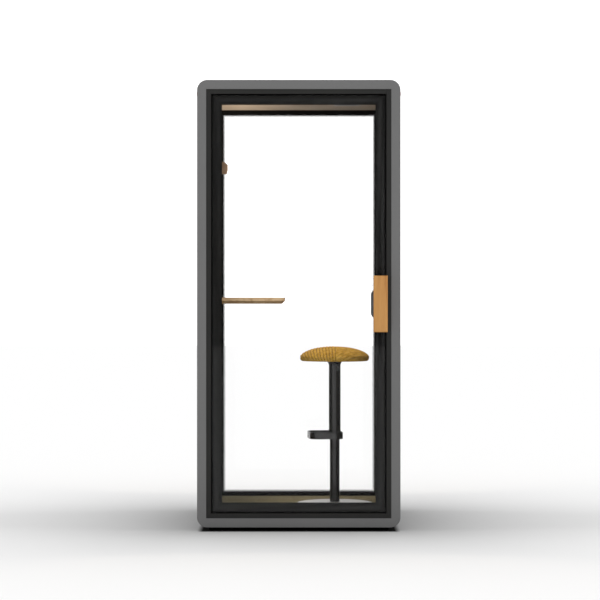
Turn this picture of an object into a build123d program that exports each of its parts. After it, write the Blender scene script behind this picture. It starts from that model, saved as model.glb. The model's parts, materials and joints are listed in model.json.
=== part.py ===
from build123d import *
import os

os.makedirs("parts", exist_ok=True)

# A single-person acoustic booth with a glass door, a side desk, a coat hook and a stool. Millimetres.
# +X is right seen from the front, +Y runs to the back, +Z is up, and the floor is z = 0.

# shell
shell_width = 1000.0
shell_depth = 1000.0
shell_height = 2200.0
foot_height = 17.0  # floor to the underside of the shell
plinth_inset = 15.0  # from the front and rear planes
plinth_side = 60.0  # from the sides
plinth_sheet = 2.0
plinth_flange = 12.0
plinth_clearance = 1.5  # above the floor
corner_radius = 50.0  # long edges of the shell
skin = 3.0
seam = 1.0  # between a side panel and the roof or base panel
ring_sheet = 4.0  # plate of the front and rear rings
ring_width = 45.0
flange_sheet = 3.0  # the rings' flanges that turn in to the openings
stud_sheet = 2.0
stud_depth = 40.0
joist_height = 37.0
beam_height = 40.0
lining = 12.0
board = 18.0
carpet_pile = 6.0
ceiling_sheet = 9.0
roof_cavity = 49.0

# fixed door frame
jamb_face = 24.0
stop_overlap = 10.0
stop_depth = 10.0
seal_sheet = 3.2
seal_width = 11.0
seal_clearance = 0.3

# door
door_gap = 7.0
door_depth = 40.0
door_glass = 6.0
border_layer = 0.6
border_width = 46.5
stile_width = 40.0
glass_radius = 3.0
pivot_in = 14.0  # axis, in from the door's hinge edge
pivot_back = 13.0  # axis, behind the front plane
pin_radius = 4.0
pin_grip = 20.0
bush_radius = 5.5
collar_radius = 7.0

# handle
grip_width = 69.0
grip_height = 277.0
grip_depth = 22.0
grip_bevel = 7.0
grip_standoff = 25.0
grip_centre_z = 1116.0
grip_overhang = 11.5  # past the door's edge
post_radius = 7.0
post_spacing = 102.0
pull_width = 54.0
pull_height = 141.0
pull_depth = 12.0
pull_radius = 26.0
pull_edge = 14.0  # from the door's edge
magnet_height = 120.0
magnet_depth = 15.0
magnet_sheet = 3.0

# rear wall
rear_frame_depth = 30.0
rear_frame_side = 46.0
rear_frame_end = 38.0
rear_pane = 8.0
rear_pane_gap = 1.0
rear_setback = 7.0  # the pane's outer face, in from the rear plane

# ceiling services
fan_size = 120.0
fan_depth = 25.0
fan_bore = 58.0
rotor_radius = 56.0
hub_radius = 20.0
blade_count = 7
shaft_radius = 2.0
intake_x, intake_back = -250.0, 250.0
exhaust_x, exhaust_from_rear = 250.0, 400.0
light_width, light_length = 300.0, 150.0
light_depth = 16.0
grille_size = 130.0
grille_sheet = 3.0
slot_width = 6.0
slot_pitch = 13.0
slot_count = 7

# desk, hook and wall panel
desk_reach = 342.0
desk_length = 500.0
desk_top_z = 1147.0
desk_edge = 16.0
desk_bevel = 15.0
desk_corner = 15.0
desk_back = 475.0  # middle of the desk and of the stool, behind the front plane
rod_radius = 6.0
rod_reach = 200.0
rod_spacing = 180.0
plate_sheet = 6.0
hook_top_z = 1850.0
hook_height = 67.0
hook_reach = 47.0
hook_width = 32.0
hook_back = 500.0
panel_height = 70.0
panel_length = 150.0
panel_sheet = 2.0
panel_box = 30.0
panel_z = 1240.0
panel_from_desk = 165.0
button_radius = 8.0
button_proud = 3.5

# status lenses
lens_radius = 15.0
lens_proud = 3.2
lens_drop = 67.0  # below the top of the shell
lens_back = 27.0
lens_stem = 8.0

# stool
stool_x = 184.6
stool_turn = 6.0
base_radius = 193.0
base_rim = 12.0
base_dome = 5.0
lower_radius = 25.0
upper_radius = 30.0
tube_wall = 2.0
lower_top = 612.0
upper_bottom = 424.0
boss_bottom = 812.0
boss_top = 822.0
boss_radius = 47.5
plate_radius = 90.0
plate_thickness = 4.0
seat_radius = 177.75
seat_widest_z = 843.0
seat_top_z = 896.0
seat_board_radius = 163.0
seat_board_thickness = 12.0
cylinder_radius = 14.0
rod_stem = 5.0
spigot_radius = 12.0
loop_left = 135.0
loop_half = 100.0
loop_band = 5.0
loop_height = 34.0
loop_bottom = 425.0
loop_radius = 45.0
lever_z = 806.0
lever_reach = 112.0
lever_gap = 10.0  # pivot, out from the upper tube
lever_slope = 4.0
lever_radius = 3.5
lever_width = 8.0

# fits
snug = 0.02  # radial, fixed pieces
running = 0.05  # radial, turning and sliding pieces
part_gap = 0.3  # between pieces that move past each other

# places worked out from the sizes
front_y = (grip_standoff + grip_depth - shell_depth) / 2
half_width = shell_width / 2
shell_top = foot_height + shell_height
shell_middle = foot_height + shell_height / 2
open_x = half_width - ring_width
open_low = foot_height + ring_width
open_high = shell_top - ring_width
jamb_x = open_x - jamb_face
jamb_low = open_low + jamb_face
jamb_high = open_high - jamb_face
door_x = jamb_x - door_gap
door_low = jamb_low + door_gap
door_high = jamb_high - door_gap
stop_x = door_x - stop_overlap
stop_low = door_low + stop_overlap
stop_high = door_high - stop_overlap
stop_front = door_depth + seal_clearance + seal_sheet
frame_back = stop_front + stop_depth  # depth of the fixed frame
wall_x = stop_x
cavity_x = wall_x + lining
skin_x = half_width - skin
joist_top = foot_height + skin + joist_height
board_top = joist_top + board
floor_z = board_top + carpet_pile
roof_under = shell_top - skin
panel_top = roof_under - roof_cavity
ceiling_z = panel_top - ceiling_sheet
pane_back = shell_depth - rear_setback
rear_front = pane_back - rear_pane - rear_frame_depth  # front of the rear frame
pivot_x = -(door_x - pivot_in)
pivot_y = front_y + pivot_back
stool_y = front_y + desk_back
panel_back = desk_back + panel_from_desk
panel_y = front_y + panel_back
heel_radius = door_depth - pivot_back  # the hinge stile's inner corner, cut to clear the seal
exhaust_back = shell_depth - exhaust_from_rear
lens_z = shell_top - lens_drop
lever_start = upper_radius + lever_gap


def block(x0, x1, back0, back1, z0, z1):
    """A box from side to side, between two depths behind the front plane, and between two heights."""
    size = Box(x1 - x0, back1 - back0, z1 - z0)
    return Pos((x0 + x1) / 2, front_y + (back0 + back1) / 2, (z0 + z1) / 2) * size


def prism(outline, back0, back1):
    """An outline drawn in front view, carried from one depth to another."""
    plane = Plane(origin=(0, front_y + back0, 0), x_dir=(1, 0, 0), z_dir=(0, -1, 0))
    return extrude(plane * outline, -(back1 - back0))


def panel_outline(half, low, high, radius=0.0):
    """A rectangle in front view, centred on the booth's middle line."""
    middle = Pos(0, (low + high) / 2)
    if radius:
        return middle * RectangleRounded(2 * half, high - low, radius)
    return middle * Rectangle(2 * half, high - low)


def upright(x, y, radius, z0, z1):
    """A vertical cylinder."""
    return Pos(x, y, (z0 + z1) / 2) * Cylinder(radius, z1 - z0)


def along_x(x0, x1, y, z, radius):
    """A cylinder that lies across the booth."""
    return Pos((x0 + x1) / 2, y, z) * Rot(0, 90, 0) * Cylinder(radius, x1 - x0)


def along_y(x, y0, y1, z, radius):
    """A cylinder that lies from front to back."""
    return Pos(x, (y0 + y1) / 2, z) * Rot(90, 0, 0) * Cylinder(radius, y1 - y0)


def tube(x, y, outer, inner, z0, z1):
    """A vertical tube."""
    return upright(x, y, outer, z0, z1) - upright(x, y, inner, z0, z1)


def save(shape, name):
    export_step(shape, f"parts/{name}.step")


# ---- shell ----
def build_shell():
    outer = panel_outline(half_width, foot_height, shell_top, corner_radius)
    inner = panel_outline(skin_x, foot_height + skin, roof_under, corner_radius - skin)
    wrap = prism(outer - inner, ring_sheet, shell_depth - ring_sheet)
    seam_x = half_width - corner_radius
    lens_hole = along_x(-half_width - 1, half_width + 1, front_y + lens_back, lens_z, lens_stem + snug)
    for side, name in ((-1, "side_panel_left"), (1, "side_panel_right")):
        near, far = seam_x + seam / 2, half_width
        x0, x1 = sorted((side * near, side * far))
        save((wrap & block(x0, x1, 0, shell_depth, 0, shell_top)) - lens_hole, name)
    flat = seam_x - seam / 2
    roof = wrap & block(-flat, flat, 0, shell_depth, shell_middle, shell_top)
    for x, back in fan_places:
        for slot in GridLocations(0, slot_pitch, 1, slot_count):
            cut = slot * SlotOverall(2 * fan_bore - 20, slot_width)
            roof -= Pos(x, front_y + back, roof_under - 1) * extrude(cut, skin + 2)
    save(roof, "roof_panel")
    base = wrap & block(-flat, flat, 0, shell_depth, 0, shell_middle)
    for x, back in foot_places:
        base -= upright(x, front_y + back, stem_radius + running, 0, joist_top)
    save(base, "base_panel")


def build_plinth():
    """A skirt hung under the base panel, with a flange turned in at its top."""
    x = half_width - plinth_side
    back = shell_depth - plinth_inset
    skirt = block(-x, x, plinth_inset, back, plinth_clearance, foot_height)
    t, reach = plinth_sheet, plinth_flange
    skirt -= block(t - x, x - t, plinth_inset + t, back - t, 0, foot_height - t)
    skirt -= block(reach - x, x - reach, plinth_inset + reach, back - reach, 0, foot_height + 1)
    save(skirt, "plinth")


def build_rings():
    outer = panel_outline(half_width, foot_height, shell_top, corner_radius)
    opening = panel_outline(open_x, open_low, open_high)
    turned = panel_outline(open_x + flange_sheet, open_low - flange_sheet, open_high + flange_sheet)
    front = prism(outer - opening, 0, ring_sheet) + prism(turned - opening, ring_sheet, frame_back)
    save(front, "front_trim")
    rear = prism(outer - opening, shell_depth - ring_sheet, shell_depth)
    rear += prism(turned - opening, rear_front, shell_depth - ring_sheet)
    save(rear - inlet_body(snug), "rear_trim")


def channel(x0, x1, back0, back1, z0, z1, open_back):
    """A folded channel, open towards the back or the front, with its flanges at the low and high sides."""
    solid = block(x0, x1, back0, back1, z0, z1)
    b0 = back0 + (stud_sheet if open_back else -1)
    b1 = back1 + (1 if open_back else -stud_sheet)
    tall = z1 - z0 > x1 - x0
    hx = stud_sheet if tall else -1
    hz = -1 if tall else stud_sheet
    return solid - block(x0 + hx, x1 - hx, b0, b1, z0 + hz, z1 - hz)


def build_steel_frame():
    inside = panel_outline(skin_x, foot_height + skin, roof_under, corner_radius - skin)
    envelope = prism(inside, ring_sheet, shell_depth - ring_sheet)
    spans = ((frame_back, frame_back + stud_depth, True), (rear_front - stud_depth, rear_front, False))
    floor_low = foot_height + skin
    frame = None
    for back0, back1, open_back in spans:
        for x0, x1 in ((-skin_x, -cavity_x), (cavity_x, skin_x)):
            post = channel(x0, x1, back0, back1, floor_low, roof_under, open_back)
            frame = post if frame is None else frame + post
        frame += channel(-cavity_x, cavity_x, back0, back1, floor_low, joist_top, open_back)
        frame += channel(-cavity_x, cavity_x, back0, back1, roof_under - beam_height, roof_under, open_back)
    for side in (-1, 1):
        x0, x1 = sorted((side * cavity_x, side * (cavity_x + stud_depth)))
        web0, web1 = sorted((side * cavity_x, side * (cavity_x + stud_sheet)))
        near, far = frame_back + stud_depth, rear_front - stud_depth
        for z0, z1, shelf in ((floor_low, joist_top, 0), (roof_under - beam_height, roof_under, 1)):
            s0 = z1 - stud_sheet if shelf else z0
            frame += block(x0, x1, near, far, s0, s0 + stud_sheet)
            frame += block(web0, web1, near, far, z0, z1)
    frame &= envelope
    for x, back in foot_places:
        frame -= upright(x, front_y + back, stem_radius + running, 0, stem_top + 1)
    save(frame, "steel_frame")


def build_walls():
    slab_low = foot_height + corner_radius
    sheets = []
    for side in (-1, 1):
        x0, x1 = sorted((side * wall_x, side * cavity_x))
        sheet = block(x0, x1, frame_back, rear_front, board_top, ceiling_z)
        if side < 0:
            sheet -= wall_box(snug)
            for y in rod_places:
                sheet -= along_x(-cavity_x - 1, -wall_x + 1, y, rod_z, rod_radius + snug)
        sheets.append(sheet)
    save(Compound(sheets), "wall_linings")
    slabs = []
    for side in (-1, 1):
        x0, x1 = sorted((side * cavity_x, side * skin_x))
        slab = block(x0, x1, frame_back + stud_depth, rear_front - stud_depth, slab_low, ceiling_z)
        if side < 0:
            slab -= wall_box(1.0)
            slab -= desk_plate(0.5)
        slabs.append(slab)
    save(Compound(slabs), "wall_insulation")


def build_floor_and_ceiling():
    save(block(-cavity_x, cavity_x, frame_back, rear_front, joist_top, board_top), "floor_board")
    save(block(-wall_x, wall_x, frame_back, rear_front, board_top, floor_z), "carpet")
    sheet = block(-cavity_x, cavity_x, frame_back, rear_front, ceiling_z, panel_top)
    for x, back in fan_places:
        sheet -= upright(x, front_y + back, fan_bore, ceiling_z - 1, panel_top + 1)
    light = shell_depth / 2
    sheet -= block(-light_width / 2, light_width / 2, light - light_length / 2, light + light_length / 2,
                   ceiling_z - 1, panel_top + 1)
    save(sheet, "ceiling_panel")


# ---- fixed door frame ----
def build_door_frame():
    pin_hole = upright(pivot_x, pivot_y, pin_radius + snug, jamb_low - pin_seat, jamb_high + pin_seat)
    for side, name in ((-1, "jamb_hinge_side"), (1, "jamb_latch_side")):
        x0, x1 = sorted((side * jamb_x, side * open_x))
        jamb = block(x0, x1, 0, frame_back, open_low, open_high)
        x0, x1 = sorted((side * stop_x, side * jamb_x))
        jamb += block(x0, x1, stop_front, frame_back, jamb_low, jamb_high)
        if side > 0:
            jamb -= strike()
        save(jamb, name)
    head = block(-jamb_x, jamb_x, 0, frame_back, jamb_high, open_high)
    head += block(-stop_x, stop_x, stop_front, frame_back, stop_high, jamb_high)
    save(head - pin_hole, "head_jamb")
    sill = block(-jamb_x, jamb_x, 0, frame_back, open_low, jamb_low)
    sill += block(-stop_x, stop_x, stop_front, frame_back, jamb_low, stop_low)
    save(sill - pin_hole, "sill")
    inset = (stop_overlap + door_gap - seal_width) / 2
    outer = panel_outline(jamb_x - inset, jamb_low + inset, jamb_high - inset, glass_radius)
    reach = inset + seal_width
    inner = panel_outline(jamb_x - reach, jamb_low + reach, jamb_high - reach)
    save(prism(outer - inner, stop_front - seal_sheet, stop_front), "door_seal")
    save(strike(), "strike_plate")
    low = upright(pivot_x, pivot_y, pin_radius, jamb_low - pin_seat + 1, door_low + pin_grip - 1)
    low += upright(pivot_x, pivot_y, collar_radius, jamb_low, door_low - part_gap)
    high = upright(pivot_x, pivot_y, pin_radius, door_high - pin_grip + 1, jamb_high + pin_seat - 1)
    save(Compound([low, high]), "pivot_pins")


def strike():
    """The steel plate let into the latch jamb."""
    return block(jamb_x, jamb_x + stud_sheet, pivot_back - 3, pivot_back + magnet_depth + 3,
                 grip_centre_z - magnet_height / 2 - 5, grip_centre_z + magnet_height / 2 + 5)


def magnet():
    return block(door_x - magnet_sheet, door_x, pivot_back, pivot_back + magnet_depth,
                 grip_centre_z - magnet_height / 2, grip_centre_z + magnet_height / 2)


# ---- door ----
def build_door():
    post_x = post_place_x
    holes = Compound([
        along_y(post_x, front_y - 1, front_y + door_depth + 1, z, post_radius + snug) for z in post_heights])
    pane = prism(panel_outline(door_x, door_low, door_high, glass_radius), 0, door_glass)
    save(pane - holes, "door_glass")
    outer = panel_outline(door_x, door_low, door_high, glass_radius)
    clear = panel_outline(door_x - border_width, door_low + border_width, door_high - border_width)
    stile_front = door_glass + border_layer
    save(prism(outer - clear, door_glass, stile_front) - holes, "door_border")

    bush_holes = upright(pivot_x, pivot_y, bush_radius + snug, door_low - 1, door_low + pin_grip)
    bush_holes += upright(pivot_x, pivot_y, bush_radius + snug, door_high - pin_grip, door_high + 1)
    heel = block(-door_x - 1, pivot_x, pivot_back, door_depth + 1, door_low - 1, door_high + 1)
    heel -= upright(pivot_x, pivot_y, heel_radius, door_low - 2, door_high + 2)
    stile = block(-door_x, -door_x + stile_width, stile_front, door_depth, door_low, door_high)
    save(stile - bush_holes - heel, "door_stile_hinge")
    stile = block(door_x - stile_width, door_x, stile_front, door_depth, door_low, door_high)
    save(stile - holes - magnet(), "door_stile_latch")
    rail_x = door_x - stile_width
    save(block(-rail_x, rail_x, stile_front, door_depth, door_high - stile_width, door_high), "door_rail_top")
    save(block(-rail_x, rail_x, stile_front, door_depth, door_low, door_low + stile_width),
         "door_rail_bottom")
    bushes = [tube(pivot_x, pivot_y, bush_radius, pin_radius + running, z, z + pin_grip)
              for z in (door_low, door_high - pin_grip)]
    save(Compound(bushes), "pivot_bushes")
    save(magnet(), "door_magnet")

    grip_x1 = door_x + grip_overhang
    grip = block(grip_x1 - grip_width, grip_x1, -grip_standoff - grip_depth, -grip_standoff,
                 grip_centre_z - grip_height / 2, grip_centre_z + grip_height / 2)
    grip = chamfer(grip.faces().sort_by(Axis.Y)[0].edges(), grip_bevel)
    save(grip, "handle_grip")
    posts = [along_y(post_x, front_y - grip_standoff, front_y + door_depth, z, post_radius)
             for z in post_heights]
    save(Compound(posts), "handle_posts")
    pull_x1 = door_x - pull_edge
    outline = Pos(pull_x1 - pull_width / 2, grip_centre_z) * RectangleRounded(
        pull_width, pull_height, pull_radius)
    pull = prism(outline, door_depth, door_depth + pull_depth)
    pull = chamfer(pull.faces().sort_by(Axis.Y)[-1].edges(), 2.0)
    save(pull, "inner_pull")


# ---- rear wall ----
def build_rear():
    outer = panel_outline(open_x, open_low, open_high)
    inner = panel_outline(open_x - rear_frame_side, open_low + rear_frame_end, open_high - rear_frame_end)
    save(prism(outer - inner, rear_front, rear_front + rear_frame_depth), "rear_frame")
    pane = panel_outline(open_x - rear_pane_gap, open_low + rear_pane_gap, open_high - rear_pane_gap, 3)
    save(prism(pane, pane_back - rear_pane, pane_back), "rear_glass")
    inlet = inlet_body(0)
    socket = block(inlet_x - 12, inlet_x + 12, shell_depth - 18, shell_depth + 1, inlet_z - 8, inlet_z + 8)
    inlet -= socket
    for x in (-7, 0, 7):
        inlet += block(inlet_x + x - 1, inlet_x + x + 1, shell_depth - 18, shell_depth - 4,
                       inlet_z - 2.5, inlet_z + 2.5)
    save(inlet, "mains_inlet")


def inlet_body(clearance):
    """The mains inlet's flange, flush with the rear ring, and its body inside the ring."""
    c = clearance
    flange = block(inlet_x - 25 - c, inlet_x + 25 + c, shell_depth - ring_sheet, shell_depth,
                   inlet_z - 15 - c, inlet_z + 15 + c)
    body = block(inlet_x - 15 - c, inlet_x + 15 + c, shell_depth - 26, shell_depth - ring_sheet,
                 inlet_z - 11 - c, inlet_z + 11 + c)
    return flange + body


# ---- ceiling services ----
def build_ceiling_services():
    light = shell_depth / 2
    lx, ly = light_width / 2, light_length / 2
    edge = 8.0
    housing = block(-lx - edge, lx + edge, light - ly - edge, light + ly + edge, panel_top,
                    panel_top + light_depth)
    housing -= block(-lx, lx, light - ly, light + ly, panel_top - 1, panel_top + light_depth - stud_sheet)
    save(housing, "light_housing")
    save(block(-lx + snug, lx - snug, light - ly + snug, light + ly - snug, ceiling_z, panel_top),
         "light_diffuser")
    frames, grilles = [], []
    half = fan_size / 2
    for x, back in fan_places:
        y = front_y + back
        frame = block(x - half, x + half, back - half, back + half, panel_top, panel_top + fan_depth)
        frame -= upright(x, y, fan_bore, panel_top - 1, panel_top + fan_depth + 1)
        plate_top = panel_top + stud_sheet
        frame += upright(x, y, hub_radius, panel_top, plate_top)
        for turn in (45, 135):
            frame += Pos(x, y, panel_top + stud_sheet / 2) * Rot(0, 0, turn) * Box(
                2 * fan_bore + 4, 8, stud_sheet)
        frame += upright(x, y, shaft_radius, panel_top, panel_top + fan_depth - 4)
        frames.append(frame)
        g = grille_size / 2
        grille = block(x - g, x + g, back - g, back + g, ceiling_z - grille_sheet, ceiling_z)
        for slot in GridLocations(0, slot_pitch, 1, slot_count):
            cut = slot * SlotOverall(2 * fan_bore - 20, slot_width)
            grille -= Pos(x, y, ceiling_z - grille_sheet - 1) * extrude(cut, grille_sheet + 2)
        grilles.append(grille)
        name = "fan_rotor_intake" if x == intake_x else "fan_rotor_exhaust"
        save(rotor(x, y), name)
    save(Compound(frames), "fan_frames")
    save(Compound(grilles), "ceiling_grilles")
    supply = block(120, 280, 230, 290, panel_top, panel_top + 30)
    save(chamfer(supply.edges().filter_by(Axis.Z), 3), "power_supply")


def rotor(x, y):
    """A hub with pitched blades, on the fan's fixed shaft."""
    low = panel_top + stud_sheet + part_gap
    high = panel_top + fan_depth - 2
    wheel = upright(x, y, hub_radius, low, high)
    middle = (low + high) / 2
    reach = rotor_radius - hub_radius + 4
    for i in range(blade_count):
        blade = Pos(hub_radius - 4 + reach / 2, 0, 0) * Rot(38, 0, 0) * Box(reach, 22, 1.6)
        wheel += Pos(x, y, middle) * Rot(0, 0, 360 * i / blade_count) * blade
    return wheel - upright(x, y, shaft_radius + running, low - 1, high - 2)


# ---- desk, hook, wall panel ----
def build_desk():
    underside = desk_top_z - desk_edge - desk_bevel
    x0, x1 = -wall_x, -wall_x + desk_reach
    b0, b1 = desk_back - desk_length / 2, desk_back + desk_length / 2
    top = block(x0, x1, b0, b1, underside, desk_top_z)
    corners = top.edges().filter_by(Axis.Z).group_by(Axis.X)[-1]
    top = fillet(corners, desk_corner)
    rim = [e for e in top.faces().sort_by(Axis.Z)[0].edges() if e.center().X > x0 + 1]
    top = chamfer(rim, desk_bevel)
    for y in rod_places:
        top -= along_x(x0 - 1, x0 + rod_reach + 1, y, rod_z, rod_radius + snug)
    save(top, "desk_top")
    brackets = desk_plate(0)
    for y in rod_places:
        brackets += along_x(-cavity_x - plate_sheet / 2, x0 + rod_reach, y, rod_z, rod_radius)
    save(brackets, "desk_brackets")


def desk_plate(clearance):
    """The steel plate behind the wall lining that carries the desk's rods."""
    c = clearance
    reach = rod_spacing + 40
    return block(-cavity_x - plate_sheet - c, -cavity_x, desk_back - reach - c, desk_back + reach + c,
                 rod_z - 40 - c, rod_z + 40 + c)


def build_hook():
    x0, x1 = -wall_x, -wall_x + hook_reach
    low = hook_top_z - hook_height
    outline = Polygon(
        (x0, low + 4), (x1 - 6, low), (x1, low + hook_height / 3), (x1, hook_top_z - 18),
        (x1 - 16, hook_top_z - 4), (x0, hook_top_z), align=None)
    hook = prism(outline, hook_back - hook_width / 2, hook_back + hook_width / 2)
    save(fillet(hook.edges().group_by(Axis.X)[-1], 3), "coat_hook")


def build_wall_panel():
    face = block(-wall_x, -wall_x + panel_sheet, panel_back - panel_length / 2,
                 panel_back + panel_length / 2, panel_z - panel_height / 2, panel_z + panel_height / 2)
    panel = face + wall_box(0)
    button_x = -wall_x + panel_sheet
    panel -= along_x(button_x - 16, button_x + 1, button_y, panel_z, button_radius + running)
    for y in (panel_y - 12, panel_y + 38):
        panel -= Pos(button_x, y, panel_z) * Box(24, 28, 12)
    save(panel, "socket_panel")
    save(along_x(button_x - 10, button_x + button_proud, button_y, panel_z, button_radius), "light_button")


def wall_box(clearance):
    c = clearance
    return block(-wall_x - panel_box - c, -wall_x + c, panel_back - panel_length / 2 + 6 - c,
                 panel_back + panel_length / 2 - 6 + c, panel_z - panel_height / 2 + 6 - c,
                 panel_z + panel_height / 2 - 6 + c)


# ---- lenses and feet ----
def build_lenses():
    lenses = []
    for side in (-1, 1):
        edge = side * half_width
        with BuildPart() as dome:
            with BuildSketch(Plane.XZ):
                with BuildLine():
                    Line((0, 0), (lens_radius, 0))
                    Line((0, 0), (0, lens_proud))
                    RadiusArc((0, lens_proud), (lens_radius, 0), lens_curve)
                make_face()
            revolve(axis=Axis.Z)
        cap = Pos(edge, front_y + lens_back, lens_z) * Rot(0, side * 90, 0) * dome.part
        x0, x1 = sorted((side * (skin_x - 4), edge))
        lenses.append(cap + along_x(x0, x1, front_y + lens_back, lens_z, lens_stem))
    save(Compound(lenses), "status_lenses")


def build_feet():
    feet = []
    for x, back in foot_places:
        y = front_y + back
        pad = chamfer(upright(0, 0, 22, 0, 6).faces().sort_by(Axis.Z)[-1].edges(), 1.5)
        nut = Pos(x, y, foot_height - 6) * extrude(RegularPolygon(11, 6), 6)
        feet.append(Pos(x, y, 0) * pad + nut + upright(x, y, stem_radius, 5, stem_top))
    save(Compound(feet), "levelling_feet")


# ---- stool, drawn about its own axis and then put in place ----
def place(shape):
    return Pos(stool_x, stool_y, 0) * Rot(0, 0, stool_turn) * shape


def turned_profile(points):
    """A solid turned about the stool's axis from points (radius, height)."""
    return revolve(Plane.XZ * make_face(Polyline(*points, close=True)), Axis.Z)


def build_stool_stand():
    rim_z = floor_z + base_rim
    base = turned_profile([(0, floor_z), (base_radius, floor_z), (base_radius, rim_z - 2),
                           (base_radius - 2, rim_z), (lower_radius + 12, rim_z + base_dome),
                           (0, rim_z + base_dome)])
    base_top = rim_z + base_dome
    save(place(base - upright(0, 0, rod_stem + snug, base_top - 10, base_top + 1)), "stool_base")
    inner = lower_radius - tube_wall
    save(place(tube(0, 0, lower_radius, inner, base_top, lower_top)), "lower_tube")
    bush = tube(0, 0, upper_radius - tube_wall - running, lower_radius + snug, lower_top - 55, lower_top)
    bush += tube(0, 0, upper_radius - tube_wall - running, inner - 1, lower_top, lower_top + 3)
    save(place(bush), "guide_bush")
    rod = upright(0, 0, rod_stem, base_top - 10, piston_z)
    rod += upright(0, 0, cylinder_radius - 3 - running, piston_z, piston_z + 8)
    save(place(rod), "piston_rod")


def build_lift():
    collar_low = boss_bottom - 9
    body_low = piston_z - 46
    body = upright(0, 0, cylinder_radius, body_low, collar_low)
    body += upright(0, 0, upper_radius - tube_wall - snug, collar_low, boss_bottom - part_gap)
    body += upright(0, 0, spigot_radius, boss_bottom - part_gap, boss_top + 2)
    body -= upright(0, 0, cylinder_radius - 3, body_low + 10, collar_low)
    body -= upright(0, 0, rod_stem + running, body_low - 1, body_low + 11)
    save(place(body), "gas_cylinder")

    bolt_x = upper_radius + loop_band
    bolt_heights = [loop_bottom + loop_height * share for share in (0.25, 0.75)]
    holes = Compound([along_x(0, bolt_x + 1, 0, z, 4 + snug) for z in bolt_heights])
    sleeve = tube(0, 0, upper_radius, upper_radius - tube_wall, upper_bottom, boss_bottom - part_gap)
    save(place(sleeve - holes), "upper_tube")

    width = loop_left + bolt_x
    middle = (bolt_x - loop_left) / 2
    outer = RectangleRounded(width, 2 * loop_half, loop_radius)
    inner = RectangleRounded(width - 2 * loop_band, 2 * (loop_half - loop_band), loop_radius - loop_band)
    loop = Pos(middle, 0, loop_bottom) * extrude(outer - inner, loop_height)
    save(place(loop - holes), "footrest")
    bolts = []
    for z in bolt_heights:
        bolts.append(along_x(upper_radius - tube_wall + 0.6, bolt_x, 0, z, 4)
                     + along_x(bolt_x, bolt_x + 2, 0, z, 6))
    save(place(Compound(bolts)), "footrest_bolts")


def build_seat():
    plate_top = boss_top + plate_thickness
    plate = turned_profile([(0, boss_bottom), (upper_radius, boss_bottom), (boss_radius, boss_top),
                            (plate_radius, boss_top), (plate_radius, plate_top), (0, plate_top)])
    plate -= upright(0, 0, spigot_radius + running, boss_bottom - 1, boss_top + 2.5)
    cheek = lever_width / 2 + part_gap
    for side in (-1, 1):
        x0, x1 = sorted((side * cheek, side * (cheek + 3)))
        plate += Pos((x0 + x1) / 2, -lever_start, (lever_z - 6 + boss_top) / 2) * Box(
            x1 - x0, 12, boss_top - lever_z + 6)
    plate += along_x(-cheek - 3, cheek + 3, -lever_start, lever_z, 2)
    save(place(plate), "seat_plate")

    board_top_z = plate_top + seat_board_thickness
    save(place(upright(0, 0, seat_board_radius, plate_top, board_top_z)), "seat_board")

    pocket = seat_board_radius + part_gap
    with BuildPart() as cushion:
        with BuildSketch(Plane.XZ):
            with BuildLine():
                Polyline((0, seat_top_z), (0, board_top_z), (pocket, board_top_z), (pocket, boss_top),
                         (seat_radius - 9, boss_top))
                Bezier((seat_radius - 9, boss_top), (seat_radius - 3, boss_top + 4),
                       (seat_radius, seat_widest_z - 10), (seat_radius, seat_widest_z))
                Bezier((seat_radius, seat_widest_z), (seat_radius - 4, seat_widest_z + 21),
                       (seat_radius * 0.65, seat_top_z), (0, seat_top_z))
            make_face()
        revolve(axis=Axis.Z)
    save(place(cushion.part), "seat_cushion")

    lever = along_x(-lever_width / 2, lever_width / 2, -lever_start, lever_z, 6)
    arm = along_y(0, -lever_reach, -3, 0, lever_radius)
    tip = Pos(0, -lever_reach, -10) * Rot(14, 0, 0) * Box(14, 5, 26)
    turned = Rot(lever_slope, 0, 0) * (arm + tip)
    lever += Pos(0, -lever_start, lever_z) * turned
    lever -= along_x(-lever_width, lever_width, -lever_start, lever_z, 2 + running)
    save(place(lever), "height_lever")


fan_places = ((intake_x, intake_back), (exhaust_x, exhaust_back))
foot_inset = 20.0  # from the joist's face
foot_places = [(x, back) for x in (-385.0, 385.0)
               for back in (frame_back + foot_inset, rear_front - foot_inset)]
lens_curve = (lens_radius**2 + lens_proud**2) / (2 * lens_proud)
stem_radius = 6.0
stem_top = joist_top - 8
inlet_x, inlet_z = 340.0, foot_height + ring_width / 2
pin_seat = 20.0
post_place_x = door_x - 26.0
post_heights = [grip_centre_z - post_spacing / 2, grip_centre_z + post_spacing / 2]
rod_z = desk_top_z - desk_edge / 2 - 3
rod_places = [front_y + desk_back + step * rod_spacing for step in (-1, 0, 1)]
button_y = panel_y - panel_length / 2 + 24
piston_z = lower_top - 6

build_shell()
build_plinth()
build_rings()
build_steel_frame()
build_walls()
build_floor_and_ceiling()
build_door_frame()
build_door()
build_rear()
build_ceiling_services()
build_desk()
build_hook()
build_wall_panel()
build_lenses()
build_feet()
build_stool_stand()
build_lift()
build_seat()
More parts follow.
